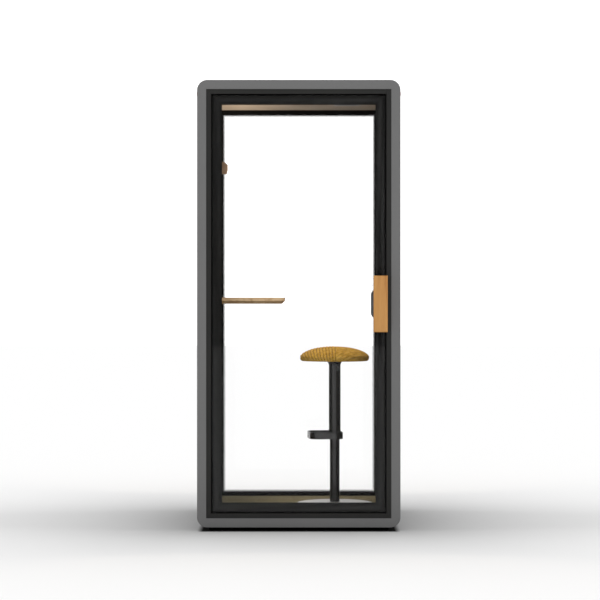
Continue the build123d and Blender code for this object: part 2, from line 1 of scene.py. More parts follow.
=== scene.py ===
import bmesh
import bpy
import json
import math
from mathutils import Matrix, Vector


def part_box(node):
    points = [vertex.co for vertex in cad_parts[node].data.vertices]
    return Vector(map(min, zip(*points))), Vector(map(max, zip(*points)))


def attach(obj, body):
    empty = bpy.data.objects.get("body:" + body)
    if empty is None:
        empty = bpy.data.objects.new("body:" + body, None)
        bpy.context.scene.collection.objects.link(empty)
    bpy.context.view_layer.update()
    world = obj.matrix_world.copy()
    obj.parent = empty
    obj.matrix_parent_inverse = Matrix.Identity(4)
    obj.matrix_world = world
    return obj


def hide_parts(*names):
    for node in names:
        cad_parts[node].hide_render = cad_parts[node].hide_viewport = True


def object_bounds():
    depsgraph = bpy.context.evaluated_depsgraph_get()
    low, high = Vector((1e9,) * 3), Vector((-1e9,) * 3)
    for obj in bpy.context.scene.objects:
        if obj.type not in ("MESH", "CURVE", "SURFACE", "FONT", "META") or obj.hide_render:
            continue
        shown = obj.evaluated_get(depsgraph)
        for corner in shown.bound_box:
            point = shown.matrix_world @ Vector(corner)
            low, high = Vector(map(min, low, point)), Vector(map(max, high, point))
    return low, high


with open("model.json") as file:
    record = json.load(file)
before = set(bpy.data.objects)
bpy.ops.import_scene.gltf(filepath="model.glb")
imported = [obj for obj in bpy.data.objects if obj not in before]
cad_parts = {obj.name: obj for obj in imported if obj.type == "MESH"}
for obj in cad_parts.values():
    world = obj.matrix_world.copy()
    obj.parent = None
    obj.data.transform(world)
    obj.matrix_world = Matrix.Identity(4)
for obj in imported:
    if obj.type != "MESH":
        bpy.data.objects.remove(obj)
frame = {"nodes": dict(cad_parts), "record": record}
cadLow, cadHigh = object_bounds()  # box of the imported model, before anything is added
cadNodes = frame["nodes"]
bodyOf = {name: body for body, names in frame["record"]["behaviour"]["bodies"].items() for name in names}
scene = bpy.context.scene
mm = 0.001
print("frame loaded,", len(cadNodes), "nodes")


def linear(hexColour):
    value = hexColour.lstrip("#")
    parts = [int(value[i:i + 2], 16) / 255 for i in (0, 2, 4)]
    return tuple(p / 12.92 if p <= 0.04045 else ((p + 0.055) / 1.055) ** 2.4 for p in parts) + (1.0,)


def addNode(tree, kind, settings=None, links=None):
    node = tree.nodes.new(kind)
    for key, value in (settings or {}).items():
        if isinstance(key, str) and hasattr(node, key):
            setattr(node, key, value)
        else:
            node.inputs[key].default_value = value
    for key, source in (links or {}).items():
        tree.links.new(source, node.inputs[key])
    return node


# one Principled shader with the sockets that stay the same all over the surface
def newMaterial(name, **sockets):
    material = bpy.data.materials.new(name)
    material.use_nodes = True
    tree = material.node_tree
    tree.nodes.clear()
    names = {"rough": "Roughness", "metal": "Metallic", "ior": "IOR", "coat": "Coat Weight",
             "coatRough": "Coat Roughness", "sheen": "Sheen Weight", "sheenRough": "Sheen Roughness",
             "specular": "Specular IOR Level"}
    shader = addNode(tree, "ShaderNodeBsdfPrincipled", {names[k]: v for k, v in sockets.items() if k in names})
    if "colour" in sockets:
        shader.inputs["Base Color"].default_value = linear(sockets["colour"])
    if "sheenTint" in sockets:
        shader.inputs["Sheen Tint"].default_value = linear(sockets["sheenTint"])
    addNode(tree, "ShaderNodeOutputMaterial", links={"Surface": shader.outputs[0]})
    return material, tree, shader


# object coordinates, stretched and shifted, so patterns keep their real size on every piece
def objectPlace(tree, scale=(1, 1, 1), shift=(0, 0, 0)):
    where = addNode(tree, "ShaderNodeTexCoord")
    return addNode(tree, "ShaderNodeMapping", {"Scale": scale, "Location": shift},
                   {"Vector": where.outputs["Object"]}).outputs[0]


def noiseOf(tree, place, scale, detail=3.0, rough=0.5, warp=0.0):
    return addNode(tree, "ShaderNodeTexNoise", {"Scale": scale, "Detail": detail, "Roughness": rough,
                                               "Distortion": warp}, {"Vector": place}).outputs[0]


def rampOf(tree, factor, stops):
    node = addNode(tree, "ShaderNodeValToRGB", links={"Fac": factor})
    ramp = node.color_ramp
    while len(ramp.elements) < len(stops):
        ramp.elements.new(0.5)
    for element, (at, colour) in zip(ramp.elements, stops):
        element.position = at
        element.color = linear(colour)
    return node.outputs[0]


def rangeOf(tree, factor, low, high):
    return addNode(tree, "ShaderNodeMapRange", {"To Min": low, "To Max": high}, {"Value": factor}).outputs[0]


# the colour multiplied by a shade, as far as the factor says
def tinted(tree, factor, colour, shade):
    mix = addNode(tree, "ShaderNodeMix", {"data_type": "RGBA", "blend_type": "MULTIPLY", 7: linear(shade)},
                  {0: factor, 6: colour})
    return mix.outputs[2]


def bumpOf(tree, shader, height, strength, depthMm):
    bump = addNode(tree, "ShaderNodeBump", {"Strength": strength, "Distance": depthMm * mm}, {"Height": height})
    tree.links.new(bump.outputs[0], shader.inputs["Normal"])


# powder coat on sheet steel or aluminium: an even satin skin with a faint orange peel
def powderCoat(name, colour, darker, rough, peelMm=1.6, gloss=0.45):
    material, tree, shader = newMaterial(name, rough=rough, specular=gloss)
    place = objectPlace(tree)
    patches = noiseOf(tree, place, 2.2, 2.0)
    tree.links.new(rampOf(tree, patches, [(0.35, darker), (0.65, colour)]), shader.inputs["Base Color"])
    tree.links.new(rangeOf(tree, noiseOf(tree, place, 14, 3.0), rough - 0.03, rough + 0.03),
                   shader.inputs["Roughness"])
    bumpOf(tree, shader, noiseOf(tree, place, 1 / (peelMm * mm), 2.0), 0.15, 0.05)
    return material


# a clear pane: mostly seen through, with the mirror of a polished surface at each face
def floatGlass(name, tint, colour):
    material = bpy.data.materials.new(name)
    material.use_nodes = True
    tree = material.node_tree
    tree.nodes.clear()
    through = addNode(tree, "ShaderNodeBsdfTransparent", {"Color": linear(tint)})
    mirror = addNode(tree, "ShaderNodeBsdfGlossy", {"Color": linear(colour), "Roughness": 0.0})
    fresnel = addNode(tree, "ShaderNodeFresnel", {"IOR": 1.18})
    mix = addNode(tree, "ShaderNodeMixShader", links={0: fresnel.outputs[0], 1: through.outputs[0],
                                                      2: mirror.outputs[0]})
    addNode(tree, "ShaderNodeOutputMaterial", links={"Surface": mix.outputs[0]})
    return material


# oiled oak: straight grain with darker pores and slow bands across it
def oiledOak(name, pale, mid, dark, along, seed, shadeBelow=None):
    material, tree, shader = newMaterial(name, rough=0.5, specular=0.35, coat=0.08, coatRough=0.4)
    stretch = {"x": (0.06, 1, 1), "y": (1, 0.06, 1), "z": (1, 1, 0.06)}[along]
    place = objectPlace(tree, stretch, (seed, seed * 0.7, seed * 0.3))
    rings = noiseOf(tree, place, 38, 4.0, 0.55, 0.6)
    fibre = noiseOf(tree, place, 420, 3.0, 0.6)
    both = addNode(tree, "ShaderNodeMath", {"operation": "MULTIPLY_ADD", 1: 0.35}, {0: fibre, 2: rings})
    tone = addNode(tree, "ShaderNodeMath", {"operation": "SUBTRACT", 1: 0.17}, {0: both.outputs[0]})
    colour = rampOf(tree, tone.outputs[0], [(0.3, dark), (0.47, mid), (0.7, pale)])
    # painted shade: below the given height the wood is darkened, standing in for the shade under the desk's
    # front edge
    if shadeBelow:
        height = addNode(tree, "ShaderNodeSeparateXYZ", links={0: objectPlace(tree)}).outputs[2]
        lower = addNode(tree, "ShaderNodeMapRange", {"From Min": shadeBelow + 0.4 * mm,
                                                     "From Max": shadeBelow - 0.4 * mm}, {"Value": height})
        colour = tinted(tree, lower.outputs[0], colour, "#c3bfb8")
    tree.links.new(colour, shader.inputs["Base Color"])
    tree.links.new(rangeOf(tree, fibre, 0.42, 0.6), shader.inputs["Roughness"])
    bumpOf(tree, shader, both.outputs[0], 0.35, 0.15)
    return material


# needled polyester felt: short fibres every way, with a soft bloom at grazing light
def needledFelt(name, pale, dark):
    material, tree, shader = newMaterial(name, rough=0.95, specular=0.1, sheen=0.35, sheenRough=0.5,
                                         sheenTint=pale)
    place = objectPlace(tree)
    fibres = noiseOf(tree, place, 620, 4.0, 0.7)
    clouds = noiseOf(tree, place, 9, 2.0)
    both = addNode(tree, "ShaderNodeMath", {"operation": "MULTIPLY_ADD", 1: 0.5}, {0: clouds, 2: fibres})
    tree.links.new(rampOf(tree, both.outputs[0], [(0.5, dark), (1.0, pale)]), shader.inputs["Base Color"])
    bumpOf(tree, shader, fibres, 0.1, 0.3)
    return material


# bouclé loop-pile carpet: rows of small loops, each a little lighter on top
def loopPile(name, pale, mid, dark):
    material, tree, shader = newMaterial(name, rough=0.95, specular=0.0, sheen=0.1, sheenRough=0.6)
    place = objectPlace(tree)
    loops = addNode(tree, "ShaderNodeTexVoronoi", {"Scale": 1 / (4.0 * mm), "Randomness": 0.75},
                    {"Vector": place}).outputs["Distance"]
    speckle = noiseOf(tree, place, 260, 3.0)
    mixed = addNode(tree, "ShaderNodeMath", {"operation": "SUBTRACT"}, {0: speckle, 1: loops})
    tree.links.new(rampOf(tree, mixed.outputs[0], [(0.0, dark), (0.25, mid), (0.5, pale)]),
                   shader.inputs["Base Color"])
    height = addNode(tree, "ShaderNodeMath", {"operation": "SUBTRACT", 0: 1.0}, {1: loops})
    bumpOf(tree, shader, height.outputs[0], 0.9, 2.0)
    return material


# wool-blend upholstery: a fine plain weave with a warm bloom
def woolWeave(name, pale, mid, dark, threadMm, seamShade=None):
    material, tree, shader = newMaterial(name, rough=0.85, specular=0.15, sheen=0.25, sheenRough=0.4,
                                         sheenTint=pale)
    place = objectPlace(tree)
    turns = 2 * math.pi / (2 * threadMm * mm)
    split = addNode(tree, "ShaderNodeSeparateXYZ", links={0: place})
    waves = []
    for axis in (0, 1):
        angle = addNode(tree, "ShaderNodeMath", {"operation": "MULTIPLY", 1: turns}, {0: split.outputs[axis]})
        waves.append(addNode(tree, "ShaderNodeMath", {"operation": "SINE"}, {0: angle.outputs[0]}))
    weave = addNode(tree, "ShaderNodeMath", {"operation": "MULTIPLY"},
                    {0: waves[0].outputs[0], 1: waves[1].outputs[0]}).outputs[0]
    slub = noiseOf(tree, place, 60, 4.0, 0.6)
    tone = addNode(tree, "ShaderNodeMath", {"operation": "MULTIPLY_ADD", 1: 0.12}, {0: weave, 2: slub})
    colour = rampOf(tree, tone.outputs[0], [(0.3, dark), (0.5, mid), (0.72, pale)])
    # painted shade: where the seam attribute says, the cloth is darkened towards seamShade, standing in for the
    # shade in the sewn valleys
    if seamShade:
        seam = addNode(tree, "ShaderNodeAttribute", {"attribute_name": "seam"}).outputs["Fac"]
        colour = tinted(tree, seam, colour, seamShade)
    tree.links.new(colour, shader.inputs["Base Color"])
    bumpOf(tree, shader, tone.outputs[0], 0.5, 0.5)
    return material


# bare or plated metal, brushed along one direction
def brushedMetal(name, colour, darker, rough, stretch=(1, 1, 0.04)):
    material, tree, shader = newMaterial(name, metal=1.0, rough=rough)
    place = objectPlace(tree, stretch)
    lines = noiseOf(tree, place, 500, 3.0)
    tree.links.new(rampOf(tree, lines, [(0.3, darker), (0.7, colour)]), shader.inputs["Base Color"])
    tree.links.new(rangeOf(tree, lines, rough - 0.08, rough + 0.08), shader.inputs["Roughness"])
    bumpOf(tree, shader, lines, 0.2, 0.03)
    return material


# moulded plastic or rubber: one colour with a fine spark-eroded texture
def mouldedPlastic(name, colour, darker, rough, grainMm=0.8, depthMm=0.04, ior=1.49):
    material, tree, shader = newMaterial(name, rough=rough, ior=ior)
    place = objectPlace(tree)
    grain = noiseOf(tree, place, 1 / (grainMm * mm), 2.0)
    tree.links.new(rampOf(tree, noiseOf(tree, place, 6, 2.0), [(0.35, darker), (0.65, colour)]),
                   shader.inputs["Base Color"])
    tree.links.new(rangeOf(tree, grain, rough - 0.06, rough + 0.06), shader.inputs["Roughness"])
    bumpOf(tree, shader, grain, 0.4, depthMm)
    return material


# opal acrylic in front of light-emitting diodes: evenly bright
def glowingAcrylic(name, colour, strength):
    material, tree, shader = newMaterial(name, colour=colour, rough=0.45, ior=1.49)
    place = objectPlace(tree)
    shader.inputs["Emission Strength"].default_value = strength
    tree.links.new(rampOf(tree, noiseOf(tree, place, 30, 2.0), [(0.3, "#fff3e2"), (0.7, "#fff7ea")]),
                   shader.inputs["Emission Color"])
    bumpOf(tree, shader, noiseOf(tree, place, 500, 2.0), 0.3, 0.02)
    return material


# mineral wool: soft yellow-brown fibre in clumps
def mineralWool(name):
    material, tree, shader = newMaterial(name, rough=1.0, specular=0.0)
    place = objectPlace(tree)
    clumps = noiseOf(tree, place, 60, 6.0, 0.7, 2.0)
    tree.links.new(rampOf(tree, clumps, [(0.3, "#6d5f3c"), (0.5, "#94855a"), (0.75, "#b6a878")]),
                   shader.inputs["Base Color"])
    bumpOf(tree, shader, clumps, 1.0, 4.0)
    return material


finishes = {
    "shell_paint": powderCoat("powderCoatGraphite", "#6e6e6e", "#6c6c6c", 0.5, gloss=0.35),
    "frame_black": powderCoat("powderCoatBlack", "#222220", "#1e1e1d", 0.5, 1.0, 0.2),
    "clear_glass": floatGlass("floatGlass", "#ffffff", "#ffffff"),
    "border_black": mouldedPlastic("ceramicFritBlack", "#181817", "#161615", 0.6, 1.5, 0.001, 1.37),
    "felt": needledFelt("needledFeltGreige", "#837c73", "#706a61"),
    "mineral_wool": mineralWool("mineralWool"),
    "oak": oiledOak("oiledOakUpright", "#cb9654", "#c28b4b", "#ad7438", "z", 3.1),
    "birch_ply": oiledOak("birchPly", "#d8c09a", "#ccb08a", "#b79a70", "x", 8.3),
    "carpet": loopPile("loopPileOlive", "#dfd5a9", "#bbb085", "#6c6349"),
    "galvanised": brushedMetal("galvanisedSteel", "#b9bdbf", "#9fa4a6", 0.45, (1, 1, 1)),
    "steel": brushedMetal("brushedSteel", "#b4b4b2", "#9a9a98", 0.32),
    "seal_rubber": mouldedPlastic("sealRubber", "#141414", "#101010", 0.7, 1.0),
    "black_plastic": mouldedPlastic("mouldedAbsBlack", "#1c1c1c", "#181818", 0.5),
    "diffuser": mouldedPlastic("opalAcrylic", "#e8e6e0", "#e2e0da", 0.45, 2.0, 0.01),
    "polished_steel": brushedMetal("chromedSteel", "#d9dadb", "#cfd0d1", 0.12),
    "stool_base_paint": powderCoat("powderCoatPale", "#f5f4ee", "#f0efe9", 0.3, gloss=0.8),
    "stool_black": powderCoat("powderCoatStoolBlack", "#171716", "#141413", 0.26, 1.0, 0.5),
    "pull_grey": powderCoat("anodisedGrey", "#63686f", "#5d6269", 0.4, 1.0),
    # the last colour is painted shade along the seat's sewn valleys
    "seat_cover": woolWeave("woolWeaveMustard", "#deb651", "#cda042", "#a47e2e", 0.9, "#6a5b43"),
    "thread": woolWeave("polyesterThread", "#c89a3c", "#b98c34", "#9c7428", 0.3),
    "lining": needledFelt("spunbondBlack", "#1c1c1c", "#131313"),
    "red_lens": mouldedPlastic("tintedAcrylicRed", "#a8423c", "#a03c37", 0.2, 2.0, 0.01),
    "bronze": brushedMetal("sinteredBronze", "#b98a55", "#a0743f", 0.4),
}
ownFinish = {  # pieces whose wood or paint differs from the rest of their slot, some only by painted light or shade
    # painted light: the desk's oak is paler than the upright oak to stand in for the light on its front edge,
    # and painted shade starts 16 mm under its top
    "desk_top": oiledOak("oiledOakDesk", "#efcfa3", "#e3bf92", "#c9a174", "y", 5.7,
                         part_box("desk_top")[1].z - 16 * mm),
    # painted shade: the hook's oak is a darker, greyer copy of the oak, standing in for the shade inside the
    # booth
    "coat_hook": oiledOak("shadedOak", "#a68d72", "#98806a", "#7c6652", "z", 1.9),
    "light_diffuser": glowingAcrylic("litOpalAcrylic", "#f4f0e8", 1.8),
    "rear_frame": powderCoat("powderCoatJet", "#111110", "#0e0e0e", 0.7, 1.0, 0.0),
    "pivot_pins": powderCoat("blackenedSteel", "#181818", "#141414", 0.45, 1.0, 0.2),
    # painted shadow: the plinth is near-black and dull so that it reads as the deep shadow under the shell
    "plinth": powderCoat("plinthShadowBlack", "#0a0a0a", "#080808", 0.8, 1.0, 0.0),
}
print("materials made")


def meshFromCad(name):
    work = bmesh.new()
    work.from_mesh(cadNodes[name].data)
    bmesh.ops.remove_doubles(work, verts=work.verts, dist=2e-6)
    bmesh.ops.dissolve_limit(work, angle_limit=math.radians(0.4), verts=work.verts, edges=work.edges)
    return work


def newPiece(name, mesh, body, material):
    piece = bpy.data.objects.new(name, mesh)
    scene.collection.objects.link(piece)
    mesh.materials.clear()
    mesh.materials.append(material)
    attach(piece, body)
    return piece


def slotOf(name):
    return next(s["material_slot"] for s in frame["record"]["subparts"] if s["node"] == name)


def shadeSmooth(mesh, angle=35):
    mesh.polygons.foreach_set("use_smooth", [True] * len(mesh.polygons))
    mesh.set_sharp_from_angle(angle=math.radians(angle))


# the CAD shape with its sharp edges eased, as folded sheet, sanded wood and moulded parts have
def easedCopy(name, widthMm, material=None):
    work = meshFromCad(name)
    mesh = bpy.data.meshes.new(name + "Eased")
    work.to_mesh(mesh)
    work.free()
    slotName = slotOf(name)
    piece = newPiece(name + "Finished", mesh, bodyOf[name], material or finishes[slotName])
    bevel = piece.modifiers.new("ease", "BEVEL")
    bevel.width = widthMm * mm
    bevel.segments = 2
    bevel.limit_method = "ANGLE"
    bevel.angle_limit = math.radians(35)
    bevel.use_clamp_overlap = True
    bevel.harden_normals = False
    shadeSmooth(mesh, 40)
    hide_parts(name)
    return piece


easedEdges = {  # piece: radius of its edges in millimetres
    "front_trim": 1.2, "rear_trim": 1.2, "side_panel_left": 0.6, "side_panel_right": 0.6,
    "roof_panel": 0.5, "base_panel": 0.6, "plinth": 0.5, "levelling_feet": 0.6,
    "jamb_hinge_side": 0.8, "jamb_latch_side": 0.8, "head_jamb": 0.8, "sill": 0.8,
    "door_stile_hinge": 0.8, "door_stile_latch": 0.8, "door_rail_top": 0.8, "door_rail_bottom": 0.8,
    "handle_grip": 1.2, "handle_posts": 0.5, "inner_pull": 1.0, "strike_plate": 0.4, "door_magnet": 0.5,
    "rear_frame": 0.8, "mains_inlet": 0.5, "wall_linings": 1.0, "ceiling_panel": 1.0, "carpet": 2.0,
    "coat_hook": 1.5, "desk_top": 1.5, "socket_panel": 0.6, "light_button": 0.6,
    "light_diffuser": 1.0, "light_housing": 0.5, "fan_frames": 0.5, "ceiling_grilles": 0.7, "power_supply": 1.0,
    "stool_base": 1.0, "lower_tube": 0.5, "upper_tube": 0.6, "footrest": 1.2, "footrest_bolts": 0.6,
    "guide_bush": 0.6, "seat_plate": 0.8, "seat_board": 1.5, "height_lever": 1.2, "pivot_pins": 0.3,
}


def finishCadNodes():
    for name, node in cadNodes.items():
        node.data.materials.clear()
        node.data.materials.append(finishes[slotOf(name)])
        shadeSmooth(node.data, 30)
    for name, width in easedEdges.items():
        easedCopy(name, width, ownFinish.get(name))
    print("CAD nodes finished")


# the printed border lies on the pane's back, set off by a hair so the two faces don't share a plane
def fritBorder():
    work = meshFromCad("door_border")
    front = min(v.co.y for v in work.verts)
    for vert in work.verts:
        if vert.co.y < front + 0.1 * mm:
            vert.co.y += 0.15 * mm
    mesh = bpy.data.meshes.new("fritBorder")
    work.to_mesh(mesh)
    work.free()
    piece = newPiece("fritBorder", mesh, "door", finishes["border_black"])
    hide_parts("door_border")


# a geometry tree with named inputs, joined from its input to its output by the caller
def newTree(name, inputs):
    tree = bpy.data.node_groups.new(name, "GeometryNodeTree")
    tree.interface.new_socket("Geometry", in_out="INPUT", socket_type="NodeSocketGeometry")
    tree.interface.new_socket("Geometry", in_out="OUTPUT", socket_type="NodeSocketGeometry")
    for label, kind in inputs.items():
        tree.interface.new_socket(label, in_out="INPUT", socket_type="NodeSocket" + kind)
    return tree, tree.nodes.new("NodeGroupInput").outputs, tree.nodes.new("NodeGroupOutput")


def finishTree(tree, instances, material, end):
    real = addNode(tree, "GeometryNodeRealizeInstances", links={0: instances})
    painted = addNode(tree, "GeometryNodeSetMaterial", {"Material": material}, {0: real.outputs[0]})
    tree.links.new(painted.outputs[0], end.inputs[0])


# runs a tree over a start mesh and keeps the result as a plain piece
def growPiece(name, tree, values, start, body, material):
    source = bpy.data.objects.new(name + "Start", start)
    scene.collection.objects.link(source)
    modifier = source.modifiers.new("grow", "NODES")
    modifier.node_group = tree
    for item in tree.interface.items_tree:
        if item.item_type == "SOCKET" and item.in_out == "INPUT" and item.name in values:
            modifier[item.identifier] = values[item.name]
    depsgraph = bpy.context.evaluated_depsgraph_get()
    mesh = bpy.data.meshes.new_from_object(source.evaluated_get(depsgraph), depsgraph=depsgraph)
    mesh.name = name
    bpy.data.objects.remove(source)
    piece = newPiece(name, mesh, body, material)
    print(name, len(mesh.polygons), "faces")
    return piece


frit = {
    "pitchMm": 2.5,
    "bandMm": 15.0,       # from the frame's edge to the last dot
    "dotMm": 3.5,         # next to the frame
    "lastDotMm": 1.1,
}


# rows of printed dots that thin out from the frame in to the clear part of the rear pane
def fritDots():
    tree, start, end = newTree("dotRows", {
        "Width": "Float", "Height": "Float", "Pitch": "Float", "Band": "Float", "Dot": "Float",
        "Last Dot": "Float", "Place": "Vector"})
    counts = []
    for label in ("Width", "Height"):
        share = addNode(tree, "ShaderNodeMath", {"operation": "DIVIDE"}, {0: start[label], 1: start["Pitch"]})
        whole = addNode(tree, "ShaderNodeMath", {"operation": "ROUND"}, {0: share.outputs[0]})
        counts.append(whole.outputs[0])
    grid = addNode(tree, "GeometryNodeMeshGrid", links={"Size X": start["Width"], "Size Y": start["Height"],
                                                       "Vertices X": counts[0], "Vertices Y": counts[1]})
    position = tree.nodes.new("GeometryNodeInputPosition").outputs[0]
    where = addNode(tree, "ShaderNodeSeparateXYZ", links={0: position})
    gaps = []
    for axis, label in ((0, "Width"), (1, "Height")):
        away = addNode(tree, "ShaderNodeMath", {"operation": "ABSOLUTE"}, {0: where.outputs[axis]})
        gaps.append(addNode(tree, "ShaderNodeMath", {"operation": "MULTIPLY_ADD", 1: 0.5}, {0: start[label]}))
        flip = addNode(tree, "ShaderNodeMath", {"operation": "MULTIPLY", 1: -1.0}, {0: away.outputs[0]})
        tree.links.new(flip.outputs[0], gaps[-1].inputs[2])
    edge = addNode(tree, "ShaderNodeMath", {"operation": "MINIMUM"},
                   {0: gaps[0].outputs[0], 1: gaps[1].outputs[0]})
    far = addNode(tree, "FunctionNodeCompare", {"operation": "GREATER_THAN"},
                  {0: edge.outputs[0], 1: start["Band"]})
    kept = addNode(tree, "GeometryNodeDeleteGeometry", links={0: grid.outputs[0], 1: far.outputs[0]})
    size = addNode(tree, "ShaderNodeMapRange", links={
        "Value": edge.outputs[0], "From Max": start["Band"], "To Min": start["Dot"],
        "To Max": start["Last Dot"]})
    dot = addNode(tree, "GeometryNodeMeshCircle", {"fill_type": "NGON", "Vertices": 6, "Radius": 0.5})
    placed = addNode(tree, "GeometryNodeInstanceOnPoints", links={"Points": kept.outputs[0],
                                                                  "Instance": dot.outputs[0],
                                                                  "Scale": size.outputs[0]})
    stood = addNode(tree, "GeometryNodeTransform", {"Rotation": (math.radians(90), 0, 0)},
                    {0: placed.outputs[0], "Translation": start["Place"]})
    finishTree(tree, stood.outputs[0], finishes["border_black"], end)
    low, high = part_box("rear_frame")
    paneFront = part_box("rear_glass")[0].y
    clear = [v.co for v in cadNodes["rear_frame"].data.vertices
             if abs(v.co.x) < high.x - 10 * mm and low.z + 10 * mm < v.co.z < high.z - 10 * mm]
    half = max(c.x for c in clear)
    bottom, top = min(c.z for c in clear), max(c.z for c in clear)
    values = {"Width": 2 * half, "Height": top - bottom, "Pitch": frit["pitchMm"] * mm,
              "Band": frit["bandMm"] * mm, "Dot": frit["dotMm"] * mm, "Last Dot": frit["lastDotMm"] * mm,
              "Place": (0, paneFront - 0.1 * mm, (top + bottom) / 2)}
    growPiece("rearFritDots", tree, values, bpy.data.meshes.new("dotStart"), "root", finishes["border_black"])


screws = {
    "headMm": 3.4,        # radius of a button head
    "tallMm": 1.6,
    "socketMm": 1.4,
    "sides": 12,
    "grilleInMm": 8,      # from a piece's edge to the screw's middle
    "socketPanelInMm": 7,
    "strikeInMm": 9,
    "inletInMm": 5,
    "rearRow": 6,         # along each side of the rear frame
    "rearEndMm": 60,
    "rearInMm": 23,
    "paneUpMm": 20,
    "paneInMm": 70,
}


# a button-head screw with a hexagon socket, pointing up the Z axis
def screwHead():
    work = bmesh.new()
    radius, tall, socket = (screws[k] * mm for k in ("headMm", "tallMm", "socketMm"))
    sides = screws["sides"]
    outline = [(radius, 0), (radius * 0.97, tall * 0.35), (radius * 0.8, tall * 0.8), (radius * 0.58, tall)]
    rings = [[work.verts.new((r * math.cos(2 * math.pi * i / sides), r * math.sin(2 * math.pi * i / sides), z))
              for i in range(sides)] for r, z in outline]
    for z in (tall, tall * 0.3):
        ring = []
        for i in range(sides):
            reach = socket if i % 2 == 0 else socket * math.cos(math.pi / 6)
            angle = 2 * math.pi * i / sides
            ring.append(work.verts.new((reach * math.cos(angle), reach * math.sin(angle), z)))
        rings.append(ring)
    for lower, upper in zip(rings, rings[1:]):
        for i in range(sides):
            work.faces.new((lower[i], lower[(i + 1) % sides], upper[(i + 1) % sides], upper[i]))
    work.faces.new(rings[-1])
    work.faces.new(rings[0][::-1])
    bmesh.ops.recalc_face_normals(work, faces=work.faces)
    mesh = bpy.data.meshes.new("screwHead")
    work.to_mesh(mesh)
    work.free()
    shadeSmooth(mesh, 40)
    head = bpy.data.objects.new("screwPattern", mesh)
    scene.collection.objects.link(head)
    return head


def screwRows():
    head = screwHead()
    tree, start, out = newTree("screwSet", {"Head": "Object", "Size": "Float"})
    picked = addNode(tree, "GeometryNodeObjectInfo", links={"Object": start["Head"]})
    facing = addNode(tree, "GeometryNodeInputNamedAttribute", {"data_type": "FLOAT_VECTOR", "Name": "facing"})
    turned = addNode(tree, "FunctionNodeAlignRotationToVector", {"axis": "Z"}, {"Vector": facing.outputs[0]})
    placed = addNode(tree, "GeometryNodeInstanceOnPoints", links={
        "Points": start["Geometry"], "Instance": picked.outputs["Geometry"], "Rotation": turned.outputs[0],
        "Scale": start["Size"]})
    finishTree(tree, placed.outputs[0], finishes["steel"], out)

    places = {"root": [], "door": []}  # (point, direction it faces)
    grilles = cadNodes["ceiling_grilles"].data.vertices
    under = min(v.co.z for v in grilles)
    inset = screws["grilleInMm"] * mm
    for side in (-1, 1):
        own = [v.co for v in grilles if v.co.x * side > 0]
        left, right = min(c.x for c in own), max(c.x for c in own)
        near, far = min(c.y for c in own), max(c.y for c in own)
        for x in (left + inset, right - inset):
            for y in (near + inset, far - inset):
                places["root"].append(((x, y, under), (0, 0, -1)))
    low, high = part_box("socket_panel")
    inset = screws["socketPanelInMm"] * mm
    for y in (low.y + inset, high.y - inset):
        for z in (low.z + inset, high.z - inset):
            places["root"].append(((high.x, y, z), (1, 0, 0)))
    low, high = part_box("strike_plate")
    inset = screws["strikeInMm"] * mm
    for z in (low.z + inset, high.z - inset):
        places["root"].append(((low.x, (low.y + high.y) / 2, z), (-1, 0, 0)))
    low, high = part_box("mains_inlet")
    inset = screws["inletInMm"] * mm
    for x in (low.x + inset, high.x - inset):
        places["root"].append(((x, high.y, (low.z + high.z) / 2), (0, 1, 0)))
    low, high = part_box("rear_frame")
    end = screws["rearEndMm"] * mm
    for side in (-1, 1):
        for k in range(screws["rearRow"]):
            z = low.z + end + k * (high.z - low.z - 2 * end) / (screws["rearRow"] - 1)
            places["root"].append(((side * (high.x - screws["rearInMm"] * mm), low.y, z), (0, -1, 0)))
    low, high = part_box("door_glass")
    inset = screws["paneUpMm"] * mm
    for z in (low.z + inset, high.z - inset):
        for side in (-1, 1):
            x = side * (high.x - screws["paneInMm"] * mm)
            places["door"].append(((x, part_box("door_rail_top")[1].y, z), (0, 1, 0)))
    for body, points in places.items():
        mesh = bpy.data.meshes.new("screwPoints")
        mesh.from_pydata([p for p, _ in points], [], [])
        facingData = mesh.attributes.new("facing", "FLOAT_VECTOR", "POINT")
        facingData.data.foreach_set("vector", [n for _, direction in points for n in direction])
        growPiece("screws" + body.capitalize(), tree, {"Head": head, "Size": 1.0}, mesh, body,
                  finishes["steel"])
    bpy.data.objects.remove(head)


# the seat: a domed pad under a channel-sewn cover
seat = {
    "turnDegrees": 0.5,    # how the stool stands
    "ribMm": 16.0,         # between the sewn channels of the left half
    "slantedCells": 9,     # between the channels of the right half, in cells
    "cellsPerRib": 6,
    "leftPuffMm": 3.4,     # how far a channel stands up between its seams
    "rightPuffMm": 1.6,
    "swellMm": 1.2,        # how far the cloth may move from there
    "pressure": 25.0,
    "clothMass": 0.03,
    "tension": 5,
    "bending": 0.1,
    "quality": 4,
    "frames": 14,
    "wallMm": 1.2,
    "stitchMm": 3.2,
    "stitchGapMm": 1.2,
    "threadMm": 0.45,
    "footInMm": 9,         # the pad's underside is this much smaller than its widest circle
    "widestUpMm": 21,      # height of the widest circle over the underside
}


def seatProfile():
    low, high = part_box("seat_cushion")
    widest = (high.x - low.x) / 2
    bottomIn = widest - seat["footInMm"] * mm
    widestUp = seat["widestUpMm"] * mm
    widestZ = low.z + widestUp
    top = high.z
    inset = seat["leftPuffMm"] * 0.6 * mm
    first = [(bottomIn, low.z), (widest - 3 * mm, low.z + 4 * mm), (widest, widestZ - 10 * mm),
             (widest, widestZ)]
    second = [(widest, widestZ), (widest - 4 * mm, widestZ + widestUp), (widest * 0.65, top), (0, top)]
    points = []
    for curve, count in ((second[::-1], 160), (first[::-1], 40)):
        for i in range(count + 1):
            t = i / count
            weights = ((1 - t) ** 3, 3 * t * (1 - t) ** 2, 3 * t * t * (1 - t), t ** 3)
            points.append((sum(w * p[0] for w, p in zip(weights, curve)),
                           sum(w * p[1] for w, p in zip(weights, curve))))
    scale = (widest - inset) / widest
    return [(r * scale, z - inset * (z - low.z) / (top - low.z)) for r, z in points], low, high


